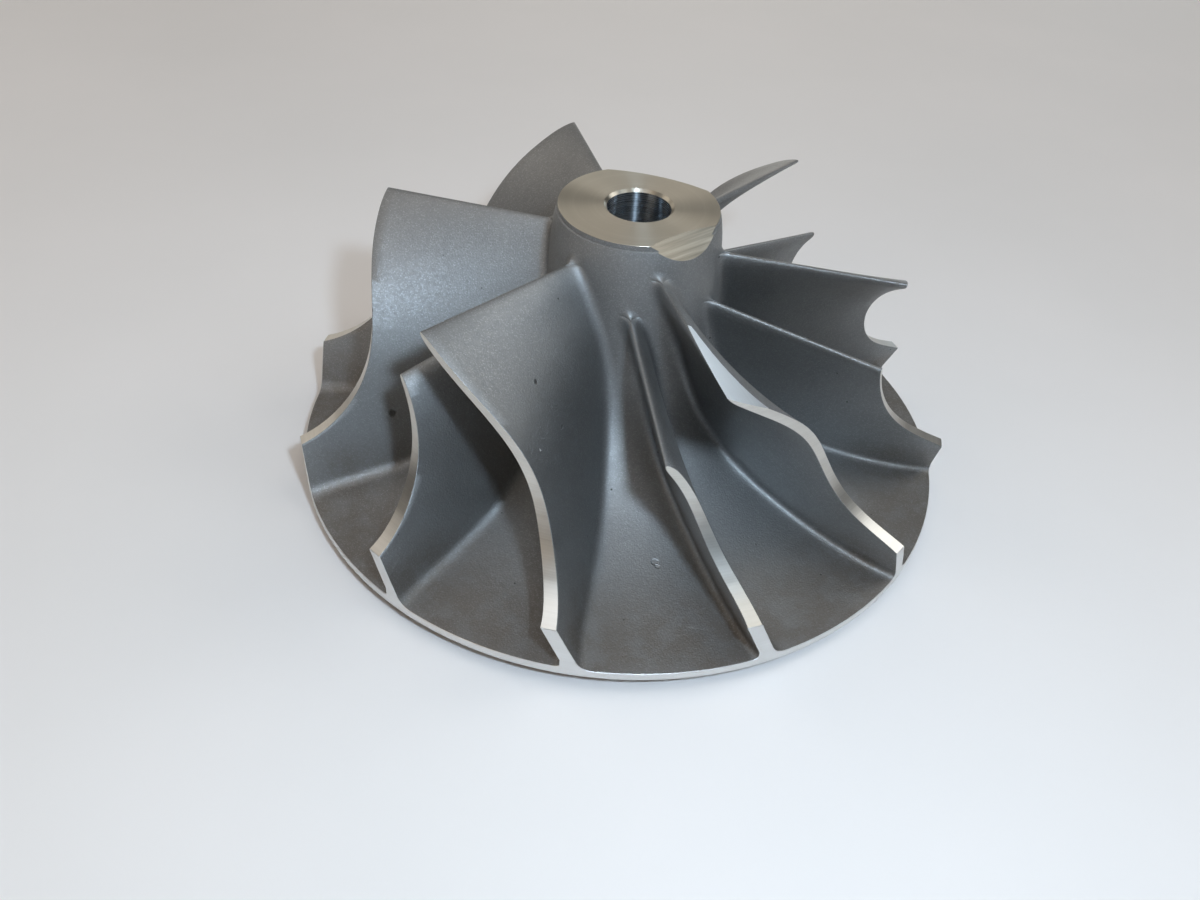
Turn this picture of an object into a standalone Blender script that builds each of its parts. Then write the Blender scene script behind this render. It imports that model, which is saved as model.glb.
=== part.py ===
"""Turbocharger compressor wheel with six full blades and six splitter blades.

The real wheel is one aluminium casting, so it is one solid here. The casting is
laid out as a grid: rows run down the hub from the nose to the rim, and columns
run round the wheel, following the blades. The shroud edges, the trailing edges,
the rim, the nose face and the bore lie where a lathe would leave them. Two
balancing cuts are then taken out of the nose, and a flat is dressed on the leading
edge of one full blade.

Metres, +Z up along the shaft. The wheel stands on its back boss at z = 0, with
the nose up. Angles run counter-clockwise seen from above the nose.
"""

import math

import bmesh
import bpy
import numpy as np

MM = 0.001

# Overall sizes
EXDUCER_R = 50.0 * MM
BORE_R = 4.53 * MM
NOSE_R = 11.33 * MM
BACK_BOSS_R = 14.0 * MM
BORE_CHAMFER = 0.4 * MM
RIM_UNDERSIDE_Z = 2.3 * MM
RIM_THICKNESS = 1.2 * MM
RIM_TOP_Z = RIM_UNDERSIDE_Z + RIM_THICKNESS
NOSE_HEIGHT = 39.3 * MM
TOP_Z = RIM_TOP_Z + NOSE_HEIGHT

# The back: a web that thins towards the rim, and the foot of the boss
WEB_R = 30.0 * MM
WEB_Z = 1.9 * MM
BOSS_FOOT_R = 16.0 * MM
BOSS_FOOT_Z = 1.7 * MM

# Hub and shroud outlines, as cubic Bezier points (radius, height above the rim)
HUB_OUTLINE = ((11.33, 39.3), (14.96, 27.97), (3.83, 1.24), (50.0, 0.0))
SHROUD_OUTLINE = ((37.87, 34.84), (38.46, 26.65), (33.84, 12.59), (50.0, 7.13))

# Camber angles in degrees, at even steps from the leading to the trailing edge
HUB_CAMBER = (-1.29, 14.05, 24.82, 30.47, 34.20, 36.13, 37.44)
SHROUD_CAMBER = (0.0, 12.64, 22.38, 27.63, 31.15, 33.69)
FIRST_BLADE_ANGLE = 168.84

# Where the leading edges start, as shares of the two outlines
FULL_HUB_START = 0.12
SPLITTER_HUB_START = 0.241
SPLITTER_SHROUD_START = 0.354

# Blade sections
BLADE_PAIRS = 6
ROOT_THICKNESS = 1.9 * MM
TIP_THICKNESS_FRONT = 1.15 * MM
TIP_THICKNESS_BACK = 1.9 * MM
NOSE_ROUNDING = 3.0 * MM
ROOT_FILLET = 1.6 * MM

# The slant of a blade is measured over this share, and kept above this limit
SLANT_STEP = 0.004
SLANT_LIMIT = 0.35

# Grid density
FILLET_STEPS = 2
PASSAGE_STEPS = 4
SPAN_STEPS = 3

# Rows: shares of the hub outline, those named after an edge measured from it
NOSE_ROWS = (0.0, 0.05)
AHEAD_OF_FULL = (-0.024, -0.008)
ALONG_FULL = (0.0, 0.004, 0.014, 0.032, 0.06)
AHEAD_OF_SPLITTER = (-0.026, -0.010)
ALONG_SPLITTER = (0.0, 0.004, 0.014, 0.034)
FIRST_COMMON_ROW = 0.08
COMMON_ROWS = 12

# Balancing cuts in the nose: direction, and the cut face in radius and height
CHORD_CUT_ANGLE = 73.9
CHORD_CUT_DEPTH_R = 9.5 * MM
CHORD_CUT_BEND_R = 26.0 * MM
CHORD_CUTTER_DEEP = 4.0 * MM
CHORD_CUTTER_OVER = 1.0 * MM
CHORD_CUTTER_THICK = 8.0 * MM
CHORD_CUTTER_HALF_TURN = 24.0
CHORD_CUTTER_STEPS = 12
SCALLOP_CUT_ANGLE = -48.5
SCALLOP_CUT_TOP_R = 9.11 * MM
SCALLOP_CUT_DROP = 2.62 * MM
SCALLOP_CUT_RUN = 2.79 * MM
SCALLOP_CUTTER_R = 17.0 * MM
SCALLOP_CUTTER_IN = 14.0 * MM
SCALLOP_CUTTER_OUT = 5.2 * MM
SCALLOP_CUTTER_SIDES = 48

# Flat dressed on the leading edge of one full blade: where it starts, how far back
# it reaches along the tip, how deep it bites, and how far the cutter overshoots
FLAT_BLADE = 2
FLAT_FIRST_SPAN = 0.42
FLAT_FIRST_REACH = 0.35 * MM
FLAT_LAST_SHARE = 0.232
FLAT_BITE = 0.30 * MM
FLAT_OVER = 2.5 * MM


def clear_scene():
    """Remove every object that the file opened with."""
    for thing in list(bpy.data.objects):
        bpy.data.objects.remove(thing, do_unlink=True)


def make_material(name, colour, roughness, metallic):
    """Make a Principled BSDF material."""
    material = bpy.data.materials.new(name)
    material.use_nodes = True
    shader = material.node_tree.nodes["Principled BSDF"]
    shader.inputs["Base Color"].default_value = (*colour, 1.0)
    shader.inputs["Roughness"].default_value = roughness
    shader.inputs["Metallic"].default_value = metallic
    material.diffuse_color = (*colour, 1.0)
    return material


def bezier(points, share):
    """Point of a cubic Bezier in millimetres, returned as metres (radius, z)."""
    a, b, c, d = (np.array(p) * MM for p in points)
    s = 1.0 - share
    spot = s**3 * a + 3 * s * s * share * b + 3 * s * share * share * c + share**3 * d
    return spot + np.array([0.0, RIM_TOP_Z])


def camber(angles, share):
    """Angle in radians at a share of the way from leading to trailing edge."""
    stations = np.linspace(0.0, 1.0, len(angles))
    law = np.polyfit(stations, angles, len(angles) - 1)
    slope = np.polyval(np.polyder(law), 0.0)
    degrees = np.polyval(law, share) if share >= 0.0 else angles[0] + slope * share
    return math.radians(degrees + FIRST_BLADE_ANGLE)


def at(radius, angle, z):
    """Cartesian point of a cylindrical one."""
    return np.array([radius * math.cos(angle), radius * math.sin(angle), z])


def turned(point, angle):
    """Point turned about the shaft axis."""
    c, s = math.cos(angle), math.sin(angle)
    return np.array([c * point[0] - s * point[1], s * point[0] + c * point[1], point[2]])


def arc_shares(points, start, count=400):
    """Arc length shares along an outline from a start to its end."""
    samples = np.linspace(start, 1.0, count)
    spots = np.array([bezier(points, s) for s in samples])
    steps = np.hypot(*np.diff(spots, axis=0).T)
    length = np.concatenate([[0.0], np.cumsum(steps)])
    return samples, length / length[-1], length[-1]


class Blade:
    """Camber surface of one blade, ruled from the hub to the shroud."""

    def __init__(self, hub_start, shroud_start, turn):
        self.hub_start = hub_start
        self.turn = turn
        self.hub_shares, self.hub_arcs, self.hub_length = arc_shares(HUB_OUTLINE, hub_start)
        self.shroud_shares, self.shroud_arcs, _ = arc_shares(SHROUD_OUTLINE, shroud_start)

    def hub_point(self, share):
        """Camber point on the hub, where share is of the whole hub outline."""
        radius, z = bezier(HUB_OUTLINE, share)
        along = (share - FULL_HUB_START) / (1.0 - FULL_HUB_START)
        return at(radius, camber(HUB_CAMBER, along) + self.turn, z)

    def shroud_point(self, share):
        """Camber point on the shroud, opposite a share of the hub outline."""
        arc = np.interp(share, self.hub_shares, self.hub_arcs)
        own = float(np.interp(arc, self.shroud_arcs, self.shroud_shares))
        radius, z = bezier(SHROUD_OUTLINE, own)
        return at(radius, camber(SHROUD_CAMBER, own) + self.turn, z)

    def distance(self, share):
        """Arc length from the leading edge root, negative ahead of it."""
        if share >= self.hub_start:
            return float(np.interp(share, self.hub_shares, self.hub_arcs)) * self.hub_length
        here, root = bezier(HUB_OUTLINE, share), bezier(HUB_OUTLINE, self.hub_start)
        return -float(np.hypot(*(root - here)))

    def point(self, share, span):
        """Camber point at a share of the span."""
        return (1.0 - span) * self.hub_point(share) + span * self.shroud_point(share)

    def slant(self, share, span):
        """How squarely the blade stands across the direction of rotation."""
        ahead = min(share + SLANT_STEP, 1.0)
        behind = max(share - SLANT_STEP, self.hub_start)
        along = self.point(ahead, span) - self.point(behind, span)
        across = self.shroud_point(share) - self.hub_point(share)
        normal = np.cross(along, across)
        normal /= np.linalg.norm(normal)
        spot = self.point(share, span)
        round_way = np.array([-spot[1], spot[0], 0.0]) / math.hypot(spot[0], spot[1])
        return max(abs(float(normal @ round_way)), SLANT_LIMIT)

    def half_angle(self, share, span, extra=0.0):
        """Half the blade's thickness, as an angle about the shaft."""
        reach = self.distance(share)
        tip = TIP_THICKNESS_FRONT + (TIP_THICKNESS_BACK - TIP_THICKNESS_FRONT) * min(
            max(reach / self.hub_length, 0.0), 1.0
        )
        half = 0.5 * (ROOT_THICKNESS + (tip - ROOT_THICKNESS) * span)
        short = min(max(reach / NOSE_ROUNDING, 0.0), 1.0)
        half *= math.sqrt(1.0 - (1.0 - short) ** 2)
        spot = self.point(share, span)
        return (half / self.slant(share, span) + extra) / math.hypot(spot[0], spot[1])


def blades():
    """The twelve blades in order round the wheel."""
    pitch = math.pi / BLADE_PAIRS
    made = []
    for place in range(2 * BLADE_PAIRS):
        if place % 2 == 0:
            made.append(Blade(FULL_HUB_START, 0.0, place * pitch))
        else:
            made.append(Blade(SPLITTER_HUB_START, SPLITTER_SHROUD_START, place * pitch))
    return made


def row_shares():
    """Shares of the hub outline at which the rows lie."""
    full = [FULL_HUB_START + step for step in AHEAD_OF_FULL + ALONG_FULL]
    splitter = [SPLITTER_HUB_START + step for step in AHEAD_OF_SPLITTER + ALONG_SPLITTER]
    common = list(np.linspace(SPLITTER_HUB_START + FIRST_COMMON_ROW, 1.0, COMMON_ROWS))
    return list(NOSE_ROWS) + full + splitter + common


def fillet_point(blade, share, side, level):
    """Point of the root fillet, from level 0 on the hub to level 1 on the blade."""
    step_out = (1.0 - level) ** 2
    reach = blade.distance(share)
    radius = math.hypot(*blade.hub_point(share)[:2])
    if reach < 0.0:
        aside = ROOT_FILLET * step_out / blade.slant(blade.hub_start, 0.0)
        away = math.hypot(reach, ROOT_FILLET * step_out)
        lift = 0.0
        if away < ROOT_FILLET:
            lift = ROOT_FILLET * (1.0 - math.sqrt(away / ROOT_FILLET)) ** 2
        foot = blade.point(blade.hub_start, 0.0)
        span_way = blade.point(blade.hub_start, 1.0) - foot
        span_way /= np.linalg.norm(span_way)
        return turned(blade.hub_point(share) + lift * span_way, side * aside / radius)
    slant = blade.slant(share, 0.0)
    half = blade.half_angle(share, 0.0)
    span = np.linalg.norm(blade.point(share, 1.0) - blade.point(share, 0.0))
    height = ROOT_FILLET / span
    aside = ROOT_FILLET / slant / radius
    hub = turned(blade.hub_point(share), side * (half + aside))
    corner = turned(blade.hub_point(share), side * half)
    wall = turned(blade.point(share, height), side * blade.half_angle(share, height))
    rest = 1.0 - level
    return rest * rest * hub + 2.0 * rest * level * corner + level * level * wall


def wall_point(blade, share, side, step):
    """Point of a blade's side, from step 0 above the fillet to the shroud."""
    span = np.linalg.norm(blade.point(share, 1.0) - blade.point(share, 0.0))
    low = ROOT_FILLET / span
    across = low + (1.0 - low) * step / SPAN_STEPS
    return turned(blade.point(share, across), side * blade.half_angle(share, across))


def onto_rim(point):
    """Point moved onto the turned cylinder of the exducer."""
    scale = EXDUCER_R / math.hypot(point[0], point[1])
    return np.array([point[0] * scale, point[1] * scale, point[2]])


class WheelGrid:
    """Vertices and faces of the whole wheel."""

    def __init__(self):
        self.vertices = []
        self.faces = []

    def add(self, point):
        """Store a vertex and return its number."""
        self.vertices.append(tuple(float(v) for v in point))
        return len(self.vertices) - 1

    def face(self, *corners):
        """Store a face, leaving out repeated corners."""
        kept = []
        for corner in corners:
            if corner not in kept:
                kept.append(corner)
        if len(kept) > 2:
            self.faces.append(kept)


def add_blade_rows(grid, wheel, shares):
    """Add fillet and wall vertices, indexed by row, blade and side."""
    fillets, walls = {}, {}
    last = len(shares) - 1
    for row, share in enumerate(shares):
        for place, blade in enumerate(wheel):
            ahead = share <= blade.hub_start + 1e-9
            for side in (1, -1):
                line = []
                for j in range(FILLET_STEPS + 1):
                    if j == FILLET_STEPS and ahead and side == -1:
                        line.append(fillets[row, place, 1][-1])
                        continue
                    spot = fillet_point(blade, share, side, j / FILLET_STEPS)
                    line.append(grid.add(onto_rim(spot) if row == last else spot))
                fillets[row, place, side] = line
                if share < blade.hub_start - 1e-9:
                    continue
                if ahead and side == -1:
                    walls[row, place, -1] = walls[row, place, 1]
                    continue
                climb = [line[-1]]
                for step in range(1, SPAN_STEPS + 1):
                    spot = wall_point(blade, share, side, step)
                    climb.append(grid.add(onto_rim(spot) if row == last else spot))
                walls[row, place, side] = climb
    return fillets, walls


def ring_of(grid, wheel, fillets, row, share, on_rim):
    """All the hub vertices of a row in order round the wheel."""
    ring = []
    count = len(wheel)
    for place, blade in enumerate(wheel):
        here = fillets[row, place, 1]
        following = fillets[row, (place + 1) % count, -1]
        ring.extend(reversed(here))
        start, end = (grid.vertices[n] for n in (here[0], following[0]))
        low = math.atan2(start[1], start[0])
        high = math.atan2(end[1], end[0])
        while high < low:
            high += 2.0 * math.pi
        radius, z = bezier(HUB_OUTLINE, share)
        if on_rim:
            radius = EXDUCER_R
        for k in range(1, PASSAGE_STEPS):
            angle = low + (high - low) * k / PASSAGE_STEPS
            ring.append(grid.add(at(radius, angle, z)))
        ring.extend(following)
    return ring


def back_profile():
    """Radius and height from under the rim, through the bore, to the nose edge."""
    return [
        (WEB_R, WEB_Z),
        (BOSS_FOOT_R, BOSS_FOOT_Z),
        (BACK_BOSS_R, 0.0),
        (BORE_R + BORE_CHAMFER, 0.0),
        (BORE_R, BORE_CHAMFER),
        (BORE_R, TOP_Z - BORE_CHAMFER),
        (BORE_R + BORE_CHAMFER, TOP_Z),
    ]


def build_wheel_mesh():
    """Lay out the whole casting as one closed grid."""
    grid = WheelGrid()
    wheel = blades()
    shares = row_shares()
    last = len(shares) - 1
    fillets, walls = add_blade_rows(grid, wheel, shares)
    rings = [
        ring_of(grid, wheel, fillets, row, share, row == last)
        for row, share in enumerate(shares)
    ]
    around = len(rings[0])
    per_blade = around // len(wheel)
    for upper, lower in zip(rings, rings[1:]):
        for k in range(around):
            if k % per_blade == per_blade - 1:
                continue
            after = (k + 1) % around
            grid.face(upper[k], lower[k], lower[after], upper[after])
    add_walls(grid, wheel, shares, walls)
    add_back(grid, rings, wheel)
    return grid


def add_walls(grid, wheel, shares, walls):
    """Join up the blade sides, the shroud edges and the trailing edges."""
    last = len(shares) - 1
    for place, blade in enumerate(wheel):
        for row in range(last):
            if shares[row] < blade.hub_start - 1e-9:
                continue
            for step in range(SPAN_STEPS):
                right, beyond = walls[row, place, 1], walls[row + 1, place, 1]
                grid.face(right[step], right[step + 1], beyond[step + 1], beyond[step])
                left, beyond = walls[row, place, -1], walls[row + 1, place, -1]
                grid.face(left[step + 1], left[step], beyond[step], beyond[step + 1])
            top = (walls[row, place, 1][-1], walls[row, place, -1][-1])
            end = (walls[row + 1, place, 1][-1], walls[row + 1, place, -1][-1])
            grid.face(top[0], top[1], end[1], end[0])
        right, left = walls[last, place, 1], walls[last, place, -1]
        for step in range(SPAN_STEPS):
            grid.face(right[step], right[step + 1], left[step + 1], left[step])


def add_back(grid, rings, wheel):
    """Close the wheel with its rim, back, boss face, bore and nose face."""
    top = rings[-1]
    around = len(top)
    rim = []
    for number in top:
        x, y, _ = grid.vertices[number]
        rim.append(grid.add((x, y, RIM_UNDERSIDE_Z)))
    for k in range(around):
        after = (k + 1) % around
        grid.face(top[k], rim[k], rim[after], top[after])
    # The last place of each blade's share of a ring coincides with the next one's first
    per_blade = around // len(wheel)
    count = around - len(wheel)
    places = [(k - k // per_blade) % count for k in range(around)]
    start = math.atan2(grid.vertices[rim[0]][1], grid.vertices[rim[0]][0])
    rings_in = []
    for radius, z in back_profile():
        spots = [at(radius, start + 2.0 * math.pi * place / count, z) for place in range(count)]
        rings_in.append([grid.add(spot) for spot in spots])
    for before, ring in zip(rings_in, rings_in[1:]):
        for place in range(count):
            after = (place + 1) % count
            grid.face(before[place], ring[place], ring[after], before[after])
    first, final, nose = rings_in[0], rings_in[-1], rings[0]
    for k in range(around):
        after = (k + 1) % around
        grid.face(rim[k], first[places[k]], first[places[after]], rim[after])
        grid.face(final[places[k]], nose[k], nose[after], final[places[after]])


def chord_cutter():
    """Curved wall whose slanting inner face trims the nose's back edge."""
    angle = math.radians(CHORD_CUT_ANGLE)
    centre = np.array([math.cos(angle), math.sin(angle)]) * (CHORD_CUT_DEPTH_R - CHORD_CUT_BEND_R)
    vertices, steps = [], CHORD_CUTTER_STEPS
    for k in range(steps + 1):
        turn = angle + math.radians(CHORD_CUTTER_HALF_TURN * (2.0 * k / steps - 1.0))
        way = np.array([math.cos(turn), math.sin(turn)])
        for z in (TOP_Z - CHORD_CUTTER_DEEP, TOP_Z + CHORD_CUTTER_OVER):
            inner = centre + way * (CHORD_CUT_BEND_R + (TOP_Z - z))
            outer = centre + way * (CHORD_CUT_BEND_R + CHORD_CUTTER_THICK)
            vertices.append((inner[0], inner[1], z))
            vertices.append((outer[0], outer[1], z))
    faces = [(0, 1, 3, 2)]
    for k in range(steps):
        a, b = 4 * k, 4 * k + 4
        faces.append((a, b, b + 1, a + 1))
        faces.append((a + 2, a + 3, b + 3, b + 2))
        faces.append((a, a + 2, b + 2, b))
        faces.append((a + 1, b + 1, b + 3, a + 3))
    last = 4 * steps
    faces.append((last, last + 2, last + 3, last + 1))
    return vertices, faces


def scallop_cutter():
    """Round bar laid along the slanting cut at the nose's front edge."""
    angle = math.radians(SCALLOP_CUT_ANGLE)
    out = np.array([math.cos(angle), math.sin(angle), 0.0])
    up = np.array([0.0, 0.0, 1.0])
    along = out * SCALLOP_CUT_RUN - up * SCALLOP_CUT_DROP
    along /= np.linalg.norm(along)
    away = np.cross(np.cross(out, along), along)
    away *= math.copysign(1.0, away[2]) / np.linalg.norm(away)
    across = np.cross(along, away)
    middle = out * SCALLOP_CUT_TOP_R + up * TOP_Z + away * SCALLOP_CUTTER_R
    vertices, sides = [], SCALLOP_CUTTER_SIDES
    for end in (-SCALLOP_CUTTER_IN, SCALLOP_CUTTER_OUT):
        for k in range(sides):
            turn = 2.0 * math.pi * k / sides
            spot = middle + along * end
            spot = spot + SCALLOP_CUTTER_R * (math.cos(turn) * across + math.sin(turn) * away)
            vertices.append(tuple(spot))
    faces = [tuple(range(sides)), tuple(reversed(range(sides, 2 * sides)))]
    for k in range(sides):
        after = (k + 1) % sides
        faces.append((k, k + sides, after + sides, after))
    return vertices, faces


def flat_cutter():
    """Block whose lower face is the flat on one full blade's leading edge."""
    blade = Blade(FULL_HUB_START, 0.0, 2.0 * math.pi / BLADE_PAIRS * FLAT_BLADE)
    share = float(np.interp(FLAT_FIRST_REACH / blade.hub_length, blade.hub_arcs, blade.hub_shares))
    start = turned(blade.point(share, FLAT_FIRST_SPAN), blade.half_angle(share, FLAT_FIRST_SPAN))
    tip = turned(blade.point(FLAT_LAST_SHARE, 1.0), blade.half_angle(FLAT_LAST_SHARE, 1.0))
    edge = blade.point(FULL_HUB_START, 1.0)
    edge = edge - upright(np.cross(edge - start, tip - start)) * FLAT_BITE
    normal = upright(np.cross(edge - start, tip - start))
    along = (edge - start) / np.linalg.norm(edge - start)
    across = np.cross(normal, along)
    across *= math.copysign(1.0, across @ (tip - start))
    ends = (0.0, along @ (edge - start) + FLAT_OVER)
    sides = (-FLAT_OVER, across @ (tip - start) + FLAT_OVER)
    vertices = [
        tuple(start + along * a + across * b + normal * c)
        for c in (0.0, FLAT_OVER) for b in sides for a in ends
    ]
    faces = [(0, 1, 3, 2), (4, 6, 7, 5), (0, 4, 5, 1), (2, 3, 7, 6), (0, 2, 6, 4), (1, 5, 7, 3)]
    return vertices, faces


def upright(way):
    """Direction of unit length that points upwards."""
    return way * math.copysign(1.0, way[2]) / np.linalg.norm(way)


def cut_away(thing, name, vertices, faces, material):
    """Subtract a closed cutter from an object and keep the result."""
    cutter = make_object(name, vertices, faces, material)
    outward(cutter)
    cutter.hide_render = True
    cutter.display_type = "WIRE"
    trim = thing.modifiers.new(name, "BOOLEAN")
    trim.operation = "DIFFERENCE"
    trim.solver = "EXACT"
    trim.object = cutter
    bpy.context.view_layer.objects.active = thing
    bpy.ops.object.modifier_apply(modifier=trim.name)
    bpy.data.objects.remove(cutter, do_unlink=True)


def outward(thing):
    """Turn every face of a closed mesh outwards."""
    shape = bmesh.new()
    shape.from_mesh(thing.data)
    bmesh.ops.recalc_face_normals(shape, faces=shape.faces[:])
    shape.to_mesh(thing.data)
    shape.free()


def make_object(name, vertices, faces, material):
    """Make a mesh object and put it in the scene."""
    mesh = bpy.data.meshes.new(name)
    mesh.from_pydata(vertices, [], faces)
    mesh.update()
    mesh.validate()
    thing = bpy.data.objects.new(name, mesh)
    thing.data.materials.append(material)
    bpy.context.scene.collection.objects.link(thing)
    return thing


def main():
    """Build the compressor wheel."""
    clear_scene()
    aluminium = make_material("cast_aluminium", (0.36, 0.38, 0.39), 0.42, 1.0)
    grid = build_wheel_mesh()
    wheel = make_object("compressor_wheel", grid.vertices, grid.faces, aluminium)
    cut_away(wheel, "chord_cutter", *chord_cutter(), aluminium)
    cut_away(wheel, "scallop_cutter", *scallop_cutter(), aluminium)
    cut_away(wheel, "flat_cutter", *flat_cutter(), aluminium)
    for face in wheel.data.polygons:
        face.use_smooth = True


main()
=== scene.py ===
"""Looks of a cast and turned turbocharger compressor wheel on a pale table.

One casting stands for the whole wheel. It starts as a flat grid, which is a map
of one sixth of the wheel: its columns run round the shaft, over a full blade and
a splitter blade, and its rows run down the hub from the nose to the rim. The map
is painted with finishes, wrapped onto the wheel, copied round the shaft and closed
with the back, the bore and the nose. All sizes are in metres.
"""

import logging
import math
from dataclasses import dataclass, field
from enum import Enum, IntEnum
from typing import Callable, Sequence

import bmesh
import bpy
import numpy as np
from mathutils import Matrix, Vector


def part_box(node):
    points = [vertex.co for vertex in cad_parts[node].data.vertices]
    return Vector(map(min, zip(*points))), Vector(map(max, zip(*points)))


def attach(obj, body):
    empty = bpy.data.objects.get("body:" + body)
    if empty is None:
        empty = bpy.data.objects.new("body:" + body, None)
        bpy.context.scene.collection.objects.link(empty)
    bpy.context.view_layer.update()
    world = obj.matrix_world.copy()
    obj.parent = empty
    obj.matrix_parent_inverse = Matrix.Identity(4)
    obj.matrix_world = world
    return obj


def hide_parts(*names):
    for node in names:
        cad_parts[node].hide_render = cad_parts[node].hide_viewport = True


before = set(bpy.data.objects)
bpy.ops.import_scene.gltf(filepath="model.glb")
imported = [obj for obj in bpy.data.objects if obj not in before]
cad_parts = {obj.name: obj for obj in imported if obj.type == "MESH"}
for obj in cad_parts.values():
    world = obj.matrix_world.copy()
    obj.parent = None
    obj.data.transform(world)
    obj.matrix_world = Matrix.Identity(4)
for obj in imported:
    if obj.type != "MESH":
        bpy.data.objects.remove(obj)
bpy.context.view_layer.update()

LOG = logging.getLogger("compressor_wheel")
MM = 0.001
CASTING = "compressor_wheel"


class Finish(IntEnum):
    """Material slots of the casting, in order."""

    CAST = 0
    SHROUD_EDGE = 1
    RIM_FACE = 2
    NOSE_FACE = 3
    BORE = 4
    GROUND_CUT = 5
    EDGE_FLAT = 6
    TURNED_BACK = 7


class Spot(Enum):
    """What a column of the map lies on."""

    PASSAGE = "passage"
    FILLET = "fillet"
    FOOT = "foot"
    HEEL = "heel"
    WALL = "wall"
    CORNER = "corner"
    STRIP = "strip"


def polar(radius: float, angle: float, z: float) -> np.ndarray:
    """Turn a cylindrical point into a Cartesian one.

    Args:
        radius: Distance from the shaft axis.
        angle: Angle round the shaft in radians.
        z: Height.

    Returns:
        The point as x, y and z.
    """
    return np.array([radius * math.cos(angle), radius * math.sin(angle), z])


def spun(point: np.ndarray, angle: float) -> np.ndarray:
    """Turn a point about the shaft axis.

    Args:
        point: The point.
        angle: Angle in radians.

    Returns:
        The turned point.
    """
    c, s = math.cos(angle), math.sin(angle)
    return np.array([c * point[0] - s * point[1], s * point[0] + c * point[1], point[2]])


@dataclass(frozen=True)
class Outline:
    """Cubic curve in the plane of radius and height, which a lathe would follow."""

    points: tuple[tuple[float, float], ...]
    lift: float

    def at(self, share: float) -> np.ndarray:
        """Give the radius and height at a share of the curve.

        Args:
            share: Curve parameter from 0 to 1.

        Returns:
            Radius and height.
        """
        a, b, c, d = (np.array(p) * MM for p in self.points)
        s = 1.0 - share
        spot = s**3 * a + 3 * s * s * share * b + 3 * s * share * share * c + share**3 * d
        return spot + np.array([0.0, self.lift])

    def arcs(self, start: float, count: int = 600) -> tuple[np.ndarray, np.ndarray, float]:
        """Measure the curve from a start to its end.

        Args:
            start: Curve parameter where the measure begins.
            count: Number of samples.

        Returns:
            Parameters, their shares of the arc length, and the whole length.
        """
        samples = np.linspace(start, 1.0, count)
        spots = np.array([self.at(s) for s in samples])
        length = np.concatenate([[0.0], np.cumsum(np.hypot(*np.diff(spots, axis=0).T))])
        return samples, length / length[-1], float(length[-1])


@dataclass(frozen=True)
class CamberLaw:
    """Angle of a blade's middle surface along one outline, in degrees."""

    stations: tuple[float, ...]
    first_angle: float = 168.84

    def law(self) -> np.ndarray:
        """Fit a polynomial through the stations."""
        places = np.linspace(0.0, 1.0, len(self.stations))
        return np.polyfit(places, self.stations, len(self.stations) - 1)

    def reader(self) -> Callable[[float], float]:
        """Prepare a function that reads the law.

        Returns:
            A function from a share of the blade to an angle in radians.
        """
        law = self.law()
        slope = float(np.polyval(np.polyder(law), 0.0))

        def read(share: float) -> float:
            """Angle at a share, carried straight on ahead of the leading edge."""
            bend = np.polyval(law, share) if share >= 0.0 else self.stations[0] + slope * share
            return math.radians(float(bend) + self.first_angle)

        return read


@dataclass(frozen=True)
class WheelSizes:
    """Driving sizes of the wheel."""

    exducer_r: float
    top: float
    bore_r: float = 4.53 * MM
    nose_r: float = 11.33 * MM
    boss_r: float = 14.0 * MM
    rim_underside: float = 2.3 * MM
    rim_top: float = 3.5 * MM
    pairs: int = 6
    full_start: float = 0.12
    splitter_start: float = 0.241
    splitter_shroud_start: float = 0.354
    root_thickness: float = 1.9 * MM
    tip_front: float = 1.15 * MM
    tip_back: float = 1.9 * MM
    nose_rounding: float = 3.0 * MM
    root_fillet: float = 1.6 * MM
    edge_break: float = 0.07 * MM

    def hub(self) -> Outline:
        """Outline of the hub, from the nose to the rim."""
        return Outline(((11.33, 39.3), (14.96, 27.97), (3.83, 1.24), (50.0, 0.0)), self.rim_top)

    def shroud(self) -> Outline:
        """Outline that the blade tips are turned to."""
        return Outline(((37.87, 34.84), (38.46, 26.65), (33.84, 12.59), (50.0, 7.13)), self.rim_top)

    @staticmethod
    def from_frame() -> "WheelSizes":
        """Read the outer sizes from the frame."""
        low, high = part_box(CASTING)
        return WheelSizes(exducer_r=(high.x - low.x) / 2.0, top=high.z)


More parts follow.
